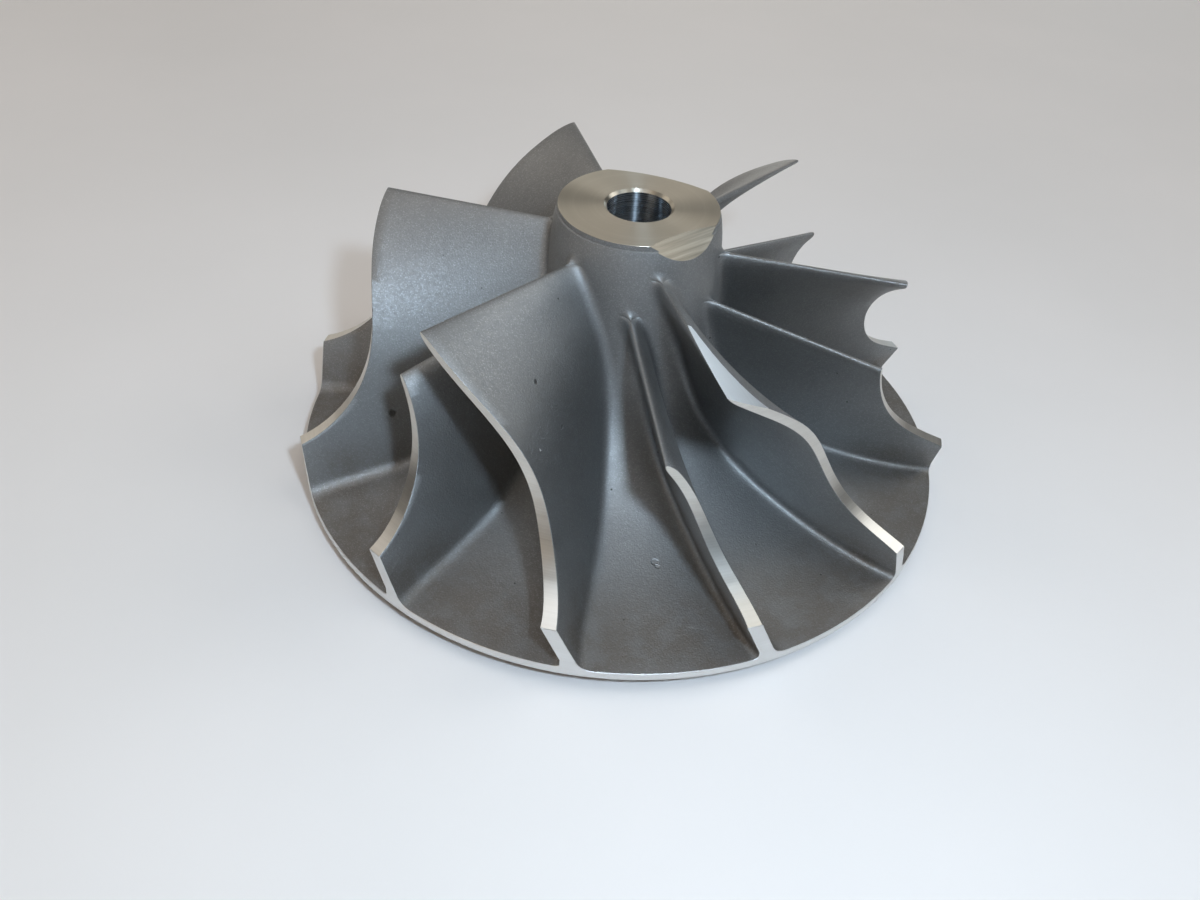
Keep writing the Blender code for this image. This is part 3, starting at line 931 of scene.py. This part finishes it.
@dataclass
class Studio:
    """Pale table, soft room light, broad panels and a small cool key light above the camera."""

    key: Lamp = Lamp("key", (0.036, -0.1375, 0.1565), 0.016, 0.225, (0.66, 0.83, 1.0))
    fill: Lamp = Lamp("fill", (-0.25, -0.30, 0.30), 0.25, 0.12, (1.0, 0.74, 0.47))
    panels: Sequence[Panel] = (
        Panel("back_low", 90.0, 12.0, 1.64, (1.0, 0.949, 0.867)),
        Panel("back_window", 66.0, 7.0, 0.36, (0.78, 0.9, 1.0), size=0.26),
        Panel("back_left_low", 135.0, 12.0, 0.78, (1.0, 0.923, 0.823)),
        Panel("front_left_low", 225.0, 12.0, 1.20, (1.0, 0.906, 0.807)),
        Panel("right_high", 22.5, 38.0, 2.57, (0.994, 1.0, 0.984)),
        Panel("left_high", 157.5, 38.0, 1.19, (1.0, 0.914, 0.808)),
        Panel("front_right_high", 337.5, 38.0, 1.30, (0.72, 0.86, 1.0)),
        Panel("back_left_top", 144.0, 63.0, 1.00, (1.0, 0.941, 0.884)),
        Panel("front_top", 288.0, 63.0, 0.77, (0.97, 0.97, 1.0)),
        Panel("overhead", 230.0, 78.0, 1.30, (1.0, 0.994, 1.0), size=0.48),
        Panel("right_top", 0.0, 66.0, 1.10, (1.0, 0.97, 0.88), size=0.48),
    )
    room: tuple[float, float, float] = (0.045, 0.045, 0.045)
    backdrop: tuple[float, float, float] = (0.62, 0.61, 0.60)

    def build(self) -> None:
        """Make the room, the lights and the table."""
        self.build_room()
        self.key.build()
        self.fill.build()
        for panel in self.panels:
            panel.lamp().build()
        self.table()

    def build_room(self) -> None:
        """Dim room light, seen straight on as a pale backdrop."""
        world = bpy.data.worlds.new("room")
        world.use_nodes = True
        wires = Wires(world.node_tree)
        direct = wires.node("ShaderNodeLightPath").outputs["Is Camera Ray"]
        shade = wires.blend(direct, self.room, self.backdrop)
        wires.join(shade, world.node_tree.nodes["Background"].inputs["Color"])
        bpy.context.scene.world = world

    def table(self) -> bpy.types.Object:
        """Pale table top under the wheel."""
        bpy.ops.object.select_all(action="DESELECT")
        bpy.ops.mesh.primitive_plane_add(size=6.0, location=(0.0, 0.0, 0.0))
        top = bpy.context.object
        top.name = "table_top"
        paint = Paint("table_top")
        spot = paint.coordinates()
        cloud = paint.noise(spot, 14.0, 4.0, 0.55)
        fibre = paint.noise(spot, 900.0, 3.0, 0.6)
        shade = paint.ramp(cloud, (0.35, 0.7), ((0.845, 0.82, 0.805), (0.875, 0.845, 0.83)))
        paint.feed("Base Color", shade)
        paint.feed("Roughness", paint.scaled(cloud, 0.55, 0.68))
        paint.bump(fibre, 0.12, 0.05 * MM)
        paint.value("Specular IOR Level", 0.25)
        top.data.materials.append(paint.material)
        return top


Number = float | bpy.types.NodeSocket
Triple = tuple[float, float, float] | bpy.types.NodeSocket


class Wires:
    """Adds and joins the nodes of one tree."""

    def __init__(self, tree: bpy.types.NodeTree):
        """Start on a tree.

        Args:
            tree: The tree of a material, a world or a group.
        """
        self.tree = tree

    def node(self, kind: str, **settings: object) -> bpy.types.Node:
        """Add a node and set its properties."""
        made = self.tree.nodes.new(kind)
        for name, setting in settings.items():
            setattr(made, name, setting)
        return made

    def join(self, source: bpy.types.NodeSocket, target: bpy.types.NodeSocket) -> None:
        """Join two sockets."""
        self.tree.links.new(source, target)

    def give(self, target: bpy.types.NodeSocket, source: Number | Triple) -> None:
        """Join a socket to a source, or set it where the source is a plain value."""
        if isinstance(source, bpy.types.NodeSocket):
            self.join(source, target)
        elif isinstance(source, tuple) and len(target.default_value) == 4:
            target.default_value = (*source, 1.0)
        else:
            target.default_value = source

    def maths(self, operation: str, *values: Number, clamp: bool = False) -> bpy.types.NodeSocket:
        """Work out a number from one to three others."""
        made = self.node("ShaderNodeMath", operation=operation, use_clamp=clamp)
        for socket, value in zip(made.inputs, values):
            self.give(socket, value)
        return made.outputs["Value"]

    def vectors(self, operation: str, *values: Number | Triple) -> bpy.types.NodeSocket:
        """Work out a vector, or the number that an operation on vectors gives."""
        made = self.node("ShaderNodeVectorMath", operation=operation)
        places = (made.inputs[0], made.inputs["Scale"]) if operation == "SCALE" else made.inputs
        for socket, value in zip(places, values):
            self.give(socket, value)
        single = operation in ("DOT_PRODUCT", "LENGTH", "DISTANCE")
        return made.outputs["Value" if single else "Vector"]

    def parts(self, spot: bpy.types.NodeSocket) -> tuple[bpy.types.NodeSocket, ...]:
        """Take a vector apart into x, y and z."""
        made = self.node("ShaderNodeSeparateXYZ")
        self.join(spot, made.inputs["Vector"])
        return tuple(made.outputs[axis] for axis in "XYZ")

    def whole(self, *values: Number) -> bpy.types.NodeSocket:
        """Make a vector of x, y and z."""
        made = self.node("ShaderNodeCombineXYZ")
        for axis, value in zip("XYZ", values):
            self.give(made.inputs[axis], value)
        return made.outputs["Vector"]

    def noise(self, spot: bpy.types.NodeSocket, scale: float, detail: float, rough: float) -> bpy.types.NodeSocket:
        """Noise value on a set of coordinates."""
        made = self.node("ShaderNodeTexNoise")
        self.join(spot, made.inputs["Vector"])
        for name, value in (("Scale", scale), ("Detail", detail), ("Roughness", rough)):
            made.inputs[name].default_value = value
        return made.outputs["Fac"]

    def cells(self, spot: bpy.types.NodeSocket, scale: float) -> tuple[bpy.types.NodeSocket, bpy.types.NodeSocket]:
        """Distance to the nearest of many scattered points, and that point's own random number."""
        made = self.node("ShaderNodeTexVoronoi", feature="F1")
        self.join(spot, made.inputs["Vector"])
        made.inputs["Scale"].default_value = scale
        apart = self.node("ShaderNodeSeparateColor")
        self.join(made.outputs["Color"], apart.inputs["Color"])
        return made.outputs["Distance"], apart.outputs["Red"]

    def scaled(self, fac: bpy.types.NodeSocket, low: Number, high: Number,
               ends: tuple[Number, Number] = (0.0, 1.0), smooth: bool = False) -> bpy.types.NodeSocket:
        """Map a value between two limits onto another range."""
        kind = "SMOOTHSTEP" if smooth else "LINEAR"
        made = self.node("ShaderNodeMapRange", interpolation_type=kind)
        for name, value in (("Value", fac), ("From Min", ends[0]), ("From Max", ends[1]),
                            ("To Min", low), ("To Max", high)):
            self.give(made.inputs[name], value)
        return made.outputs["Result"]

    def blend(self, fac: Number, first: Triple, second: Triple) -> bpy.types.NodeSocket:
        """Mix two colours."""
        made = self.node("ShaderNodeMix", data_type="RGBA")
        self.give(made.inputs["Factor"], fac)
        self.give(made.inputs[6], first)
        self.give(made.inputs[7], second)
        return made.outputs[2]

    def ramp(self, fac: bpy.types.NodeSocket, ends: tuple[float, float],
             colours: tuple[tuple[float, float, float], tuple[float, float, float]]) -> bpy.types.NodeSocket:
        """Blend two colours between two values."""
        made = self.node("ShaderNodeValToRGB")
        self.join(fac, made.inputs["Fac"])
        for stop, place, colour in zip(made.color_ramp.elements, ends, colours):
            stop.position = place
            stop.color = (*colour, 1.0)
        return made.outputs["Color"]

    def effect(self, effect: "Effect", **values: Number | Triple) -> Callable[[str], bpy.types.NodeSocket]:
        """Place a shared effect with its own values.

        Args:
            effect: The effect.
            **values: Values or sources of its inputs, by name.

        Returns:
            A function that gives an output by its name.
        """
        made = self.node("ShaderNodeGroup", node_tree=effect.tree)
        for name, value in values.items():
            self.give(made.inputs[name], value)
        return lambda name: made.outputs[name]


class Effect(Wires):
    """A group of nodes that several finishes use."""

    title = "effect"
    takes: dict[str, Number | Triple] = {}
    gives: tuple[str, ...] = ()

    def __init__(self) -> None:
        """Make the group, its sockets and its inner nodes."""
        super().__init__(bpy.data.node_groups.new(self.title, "ShaderNodeTree"))
        for name, value in {"Spot": (0.0, 0.0, 0.0), **self.takes}.items():
            kind = "NodeSocketVector" if isinstance(value, tuple) else "NodeSocketFloat"
            socket = self.tree.interface.new_socket(name, in_out="INPUT", socket_type=kind)
            socket.default_value = value
        for name in self.gives:
            self.tree.interface.new_socket(name, in_out="OUTPUT", socket_type="NodeSocketFloat")
        self.given = self.node("NodeGroupInput").outputs
        self.results = self.node("NodeGroupOutput").inputs
        self.fill()

    def fill(self) -> None:
        """Wire the inside of the group."""


class BeadGrain(Effect):
    """Fine pebbled skin that bead blasting leaves, with a mask of scattered cells for painted glints."""

    title = "bead_grain"
    takes = {"Scale": 5200.0, "Glints": 0.35}
    gives = ("Height", "Shade", "Glint")

    def fill(self) -> None:
        """Pebbles of two sizes, a soft shade and scattered cells, the mask of the painted glints."""
        spot = self.vectors("SCALE", self.given["Spot"], self.given["Scale"])
        fine = self.noise(spot, 0.8, 2.0, 0.7)
        dimple, _ = self.cells(spot, 0.55)
        self.join(self.maths("ADD", self.maths("MULTIPLY", fine, 0.8), self.maths("MULTIPLY", dimple, 0.35)),
                  self.results["Height"])
        self.join(self.noise(spot, 0.3, 2.0, 0.5), self.results["Shade"])
        apart, luck = self.cells(spot, 1.0)
        chosen = self.scaled(luck, 0.0, 1.0, (self.maths("SUBTRACT", 1.0, self.given["Glints"]), 1.0))
        self.join(self.maths("MULTIPLY", chosen, self.scaled(apart, 1.0, 0.0, (0.2, 0.7))), self.results["Glint"])


class TurnedRings(Effect):
    """Fine rings that a lathe tool leaves round the shaft, on flat and on upright faces."""

    title = "turned_rings"
    takes = {"Pitch": 9000.0}
    gives = ("Height", "Shade")

    def fill(self) -> None:
        """Noise that changes with the radius and the height alone, with a faint waver."""
        x, y, z = self.parts(self.given["Spot"])
        radius = self.vectors("LENGTH", self.whole(x, y, 0.0))
        waver = self.maths("MULTIPLY", self.noise(self.given["Spot"], 60.0, 1.0, 0.5), 0.00004)
        across = self.maths("MULTIPLY", self.maths("ADD", radius, waver), self.given["Pitch"])
        rise = self.maths("MULTIPLY", z, self.given["Pitch"])
        lines = self.noise(self.whole(across, rise, 0.0), 1.0, 3.0, 0.6)
        broad = self.noise(self.whole(across, rise, 4.0), 0.13, 3.0, 0.6)
        self.join(lines, self.results["Height"])
        self.join(self.maths("ADD", self.maths("MULTIPLY", lines, 0.45), self.maths("MULTIPLY", broad, 0.55)),
                  self.results["Shade"])


class GroundStreaks(Effect):
    """Straight scratches that a hand grinder leaves."""

    title = "ground_streaks"
    takes = {"Across": (1.0, 0.0, 0.0), "Along": (0.0, 1.0, 0.0), "Pitch": 5000.0}
    gives = ("Height", "Shade")

    def fill(self) -> None:
        """Noise that changes fast across the streaks and slowly along them."""
        across = self.maths("MULTIPLY", self.vectors("DOT_PRODUCT", self.given["Spot"], self.given["Across"]),
                            self.given["Pitch"])
        along = self.maths("MULTIPLY", self.vectors("DOT_PRODUCT", self.given["Spot"], self.given["Along"]),
                           self.maths("MULTIPLY", self.given["Pitch"], 0.04))
        lines = self.noise(self.whole(across, along, 0.0), 1.0, 3.0, 0.65)
        broad = self.noise(self.whole(across, along, 7.0), 0.28, 2.0, 0.6)
        self.join(lines, self.results["Height"])
        self.join(self.maths("ADD", self.maths("MULTIPLY", lines, 0.3), self.maths("MULTIPLY", broad, 0.7)),
                  self.results["Shade"])


class Stain(Effect):
    """Cloudy patches of handling and storage."""

    title = "stain"
    takes = {"Scale": 60.0, "Cover": 0.5}
    gives = ("Mask",)

    def fill(self) -> None:
        """Soft threshold of a cloud."""
        spot = self.vectors("SCALE", self.given["Spot"], self.given["Scale"])
        cloud = self.noise(spot, 1.0, 5.0, 0.62)
        edge = self.maths("SUBTRACT", 1.0, self.given["Cover"])
        low, high = self.maths("SUBTRACT", edge, 0.12), self.maths("ADD", edge, 0.12)
        self.join(self.scaled(cloud, 0.0, 1.0, (low, high), smooth=True), self.results["Mask"])


class Nick(Effect):
    """One small blemish at a place."""

    title = "nick"
    takes = {"Centre": (0.0, 0.0, 0.0), "Radius": 0.0003}
    gives = ("Mask",)

    def fill(self) -> None:
        """Ragged ball round the centre."""
        apart = self.vectors("DISTANCE", self.given["Spot"], self.given["Centre"])
        ragged = self.scaled(self.noise(self.given["Spot"], 4000.0, 1.0, 0.5), 0.7, 1.3)
        share = self.maths("DIVIDE", self.maths("MULTIPLY", apart, ragged), self.given["Radius"])
        self.join(self.scaled(share, 1.0, 0.0, (0.45, 1.0), smooth=True), self.results["Mask"])


class Workshop:
    """The shared effects, each made once."""

    def __init__(self) -> None:
        """Make every effect."""
        self.grain = BeadGrain()
        self.rings = TurnedRings()
        self.streaks = GroundStreaks()
        self.stain = Stain()
        self.nick = Nick()


class Paint(Wires):
    """Wires the nodes of one material."""

    def __init__(self, name: str):
        """Start a material.

        Args:
            name: Name of the material.
        """
        self.material = bpy.data.materials.get(name) or bpy.data.materials.new(name)
        self.material.use_nodes = True
        super().__init__(self.material.node_tree)
        self.shader = self.tree.nodes["Principled BSDF"]

    def feed(self, socket: str, source: bpy.types.NodeSocket) -> None:
        """Join a source to one of the shader's inputs."""
        self.join(source, self.shader.inputs[socket])

    def value(self, socket: str, number: float) -> None:
        """Set one of the shader's inputs."""
        self.shader.inputs[socket].default_value = number

    def coordinates(self) -> bpy.types.NodeSocket:
        """Object coordinates."""
        return self.node("ShaderNodeTexCoord").outputs["Object"]

    def bump(self, height: bpy.types.NodeSocket, strength: float, distance: float) -> None:
        """Bump the surface by a height."""
        made = self.node("ShaderNodeBump")
        self.join(height, made.inputs["Height"])
        made.inputs["Strength"].default_value = strength
        made.inputs["Distance"].default_value = distance
        self.feed("Normal", made.outputs["Normal"])

    def brush(self, amount: float) -> None:
        """Stretch the gloss across the lathe's rings."""
        tangent = self.node("ShaderNodeTangent", direction_type="RADIAL", axis="Z")
        self.feed("Tangent", tangent.outputs["Tangent"])
        self.value("Anisotropic", amount)
        self.value("Anisotropic Rotation", 0.25)


@dataclass(frozen=True)
class Blemish:
    """A dark pit or a bright nick in the cast skin."""

    centre: tuple[float, float, float]
    radius: float
    strength: float
    bright: bool = False


@dataclass(frozen=True)
class CastSkin:
    """Bead-blasted casting, a little darker and browner on the low channel floor near the rim."""

    metal: tuple[float, float, float] = (0.285, 0.288, 0.288)
    pale: tuple[float, float, float] = (0.335, 0.338, 0.338)
    # Darker brown that the low channel floor takes near the rim.
    rim_floor_brown: tuple[float, float, float] = (0.235, 0.215, 0.195)
    # Colour of the painted glints.
    glint: tuple[float, float, float] = (0.72, 0.74, 0.76)
    pit: tuple[float, float, float] = (0.06, 0.058, 0.055)
    nicked: tuple[float, float, float] = (0.80, 0.80, 0.80)
    roughness: tuple[float, float] = (0.54, 0.66)
    scuffed: tuple[float, float, float] = (7.5 * MM, -43.5 * MM, 3.9 * MM)
    blemishes: tuple[Blemish, ...] = (
        Blemish((-11.17 * MM, -25.42 * MM, 29.98 * MM), 0.42 * MM, 0.75),
        Blemish((-9.71 * MM, -32.73 * MM, 24.91 * MM), 0.26 * MM, 0.9, bright=True),
        Blemish((-7.53 * MM, -26.23 * MM, 23.54 * MM), 0.34 * MM, 0.6),
        Blemish((6.59 * MM, -32.14 * MM, 5.65 * MM), 0.70 * MM, 0.08, bright=True),
        Blemish((6.95 * MM, -32.75 * MM, 5.50 * MM), 0.40 * MM, 0.25, bright=True),
        Blemish((-33.66 * MM, -13.66 * MM, 12.76 * MM), 0.75 * MM, 0.7),
    )

    def build(self, shop: Workshop) -> None:
        """Wire the material."""
        paint = Paint(Finish.CAST.name.lower())
        spot = paint.coordinates()
        grain = paint.effect(shop.grain, Spot=spot, Scale=5600.0, Glints=0.5)
        cloud = paint.noise(spot, 95.0, 4.0, 0.6)
        colour = paint.blend(paint.scaled(cloud, 0.0, 1.0, (0.3, 0.7)), self.metal, self.pale)
        # Darker and browner over the low channel floor near the rim, in cloudy patches.
        colour = paint.blend(self.rim_floor_darkening(paint, shop, spot), colour, self.rim_floor_brown)
        # Painted glints: scattered grain cells are lightened in the base colour to stand in for sparkle; the same
        # cells are also made smoother below.
        colour = paint.blend(paint.maths("MULTIPLY", grain("Glint"), 0.22), colour, self.glint)
        colour = paint.blend(self.specks(paint, spot), colour, self.pit)
        colour = paint.blend(self.scuff(paint, shop, spot), colour, self.nicked)
        height = grain("Height")
        for blemish in self.blemishes:
            mask = paint.effect(shop.nick, Spot=spot, Centre=blemish.centre, Radius=blemish.radius)("Mask")
            tint = paint.maths("MULTIPLY", mask, blemish.strength)
            colour = paint.blend(tint, colour, self.nicked if blemish.bright else self.pit)
            height = paint.maths("SUBTRACT", height, paint.maths("MULTIPLY", mask, 2.0))
        rough = paint.scaled(grain("Shade"), *self.roughness, ends=(0.25, 0.75))
        rough = paint.maths("SUBTRACT", rough, paint.maths("MULTIPLY", grain("Glint"), 0.15))
        paint.feed("Base Color", colour)
        paint.feed("Roughness", rough)
        paint.value("Metallic", 1.0)
        paint.bump(height, 0.75, 0.05 * MM)

    def rim_floor_darkening(self, paint: Paint, shop: Workshop, spot: bpy.types.NodeSocket) -> bpy.types.NodeSocket:
        """Mask of the brownish patches on the floor of the channels, stronger near the rim."""
        x, y, z = paint.parts(spot)
        radius = paint.vectors("LENGTH", paint.whole(x, y, 0.0))
        outer = paint.scaled(radius, 0.0, 1.0, (30.0 * MM, 46.0 * MM), smooth=True)
        low = paint.scaled(z, 1.0, 0.0, (6.0 * MM, 11.0 * MM), smooth=True)
        patches = paint.effect(shop.stain, Spot=spot, Scale=260.0, Cover=0.52)("Mask")
        amount = paint.maths("ADD", paint.maths("MULTIPLY", patches, 0.45), 0.45)
        return paint.maths("MULTIPLY", paint.maths("MULTIPLY", outer, low), amount)

    def scuff(self, paint: Paint, shop: Workshop, spot: bpy.types.NodeSocket) -> bpy.types.NodeSocket:
        """Mask of the faint scratches on the channel floor near the rim."""
        lines = paint.effect(shop.streaks, Spot=spot, Across=(0.0, 1.0, 0.1), Along=(1.0, 0.0, 0.0), Pitch=2600.0)
        strong = paint.scaled(lines("Height"), 0.0, 0.35, (0.60, 0.70))
        place = paint.effect(shop.nick, Spot=spot, Centre=self.scuffed, Radius=7.0 * MM)("Mask")
        return paint.maths("MULTIPLY", strong, place)

    def specks(self, paint: Paint, spot: bpy.types.NodeSocket) -> bpy.types.NodeSocket:
        """Mask of tiny dark pores scattered over the casting."""
        apart, luck = paint.cells(spot, 330.0)
        dot = paint.scaled(apart, 1.0, 0.0, (0.03, 0.06))
        return paint.maths("MULTIPLY", dot, paint.maths("GREATER_THAN", luck, 0.8))


@dataclass(frozen=True)
class TurnedFinish:
    """Aluminium turned on a lathe."""

    finish: Finish
    dark: tuple[float, float, float]
    light: tuple[float, float, float]
    roughness: tuple[float, float]
    pitch: float
    depth: float
    brushed: float = 0.0
    grain: float = 0.25

    def build(self, shop: Workshop) -> None:
        """Wire the material."""
        paint = Paint(self.finish.name.lower())
        spot = paint.coordinates()
        rings = paint.effect(shop.rings, Spot=spot, Pitch=self.pitch)
        grain = paint.effect(shop.grain, Spot=spot, Scale=4200.0, Glints=0.03)
        haze = paint.effect(shop.stain, Spot=spot, Scale=210.0, Cover=0.42)("Mask")
        colour = paint.blend(paint.scaled(rings("Shade"), 0.0, 1.0, (0.3, 0.7)), self.dark, self.light)
        colour = paint.blend(paint.maths("MULTIPLY", haze, 0.35), colour, self.dark)
        paint.feed("Base Color", colour)
        paint.feed("Roughness", paint.scaled(rings("Shade"), *self.roughness, ends=(0.3, 0.7)))
        paint.value("Metallic", 1.0)
        height = paint.maths("ADD", rings("Height"), paint.maths("MULTIPLY", grain("Height"), self.grain))
        paint.bump(height, self.depth, 0.03 * MM)
        paint.brush(self.brushed)


@dataclass(frozen=True)
class GroundFinish:
    """Aluminium ground or filed by hand, with straight streaks."""

    finish: Finish
    dark: tuple[float, float, float]
    light: tuple[float, float, float]
    roughness: tuple[float, float]
    across: tuple[float, float, float]
    along: tuple[float, float, float]
    pitch: float
    depth: float

    def build(self, shop: Workshop) -> None:
        """Wire the material."""
        paint = Paint(self.finish.name.lower())
        spot = paint.coordinates()
        streaks = paint.effect(shop.streaks, Spot=spot, Across=self.across, Along=self.along, Pitch=self.pitch)
        shade = paint.scaled(streaks("Shade"), 0.0, 1.0, (0.35, 0.65))
        paint.feed("Base Color", paint.blend(shade, self.dark, self.light))
        paint.feed("Roughness", paint.scaled(streaks("Shade"), *self.roughness, ends=(0.3, 0.7)))
        paint.value("Metallic", 1.0)
        paint.bump(streaks("Height"), self.depth, 0.04 * MM)


FINISHES: tuple[CastSkin | TurnedFinish | GroundFinish, ...] = (
    CastSkin(),
    TurnedFinish(Finish.SHROUD_EDGE, (0.56, 0.545, 0.51), (0.72, 0.705, 0.665), (0.30, 0.42), 5200.0, 0.2, 0.4),
    TurnedFinish(Finish.RIM_FACE, (0.68, 0.68, 0.67), (0.80, 0.80, 0.79), (0.40, 0.50), 6500.0, 0.2, 0.4),
    TurnedFinish(Finish.NOSE_FACE, (0.52, 0.485, 0.41), (0.60, 0.565, 0.485), (0.32, 0.38), 9000.0, 0.05, 0.85,
                 grain=0.0),
    TurnedFinish(Finish.BORE, (0.40, 0.44, 0.48), (0.50, 0.54, 0.58), (0.24, 0.30), 7000.0, 0.05, 1.0, grain=0.0),
    GroundFinish(Finish.GROUND_CUT, (0.20, 0.18, 0.145), (0.42, 0.385, 0.32), (0.36, 0.50),
                 (0.483, -0.546, -0.684), (0.749, 0.663, 0.0), 4200.0, 0.35),
    GroundFinish(Finish.EDGE_FLAT, (0.84, 0.86, 0.88), (0.90, 0.92, 0.93), (0.30, 0.38),
                 (0.82, 0.38, -0.42), (0.37, -0.85, -0.36), 9000.0, 0.15),
    TurnedFinish(Finish.TURNED_BACK, (0.46, 0.46, 0.46), (0.56, 0.56, 0.56), (0.34, 0.44), 5200.0, 0.2, 0.5),
)


def main() -> None:
    """Build the camera, the studio and the wheel, and log its vertex and face counts."""
    logging.basicConfig(level=logging.INFO, format="%(message)s")
    bpy.context.scene.view_settings.view_transform = "Standard"
    PhotoView().build()
    Studio().build()
    casting = Casting(WheelSizes.from_frame()).build()
    shop = Workshop()
    for finish in FINISHES:
        finish.build(shop)
    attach(casting, "root")
    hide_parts(CASTING)
    LOG.info("casting: %d vertices, %d faces", len(casting.data.vertices), len(casting.data.polygons))


if __name__ == "__main__":
    main()
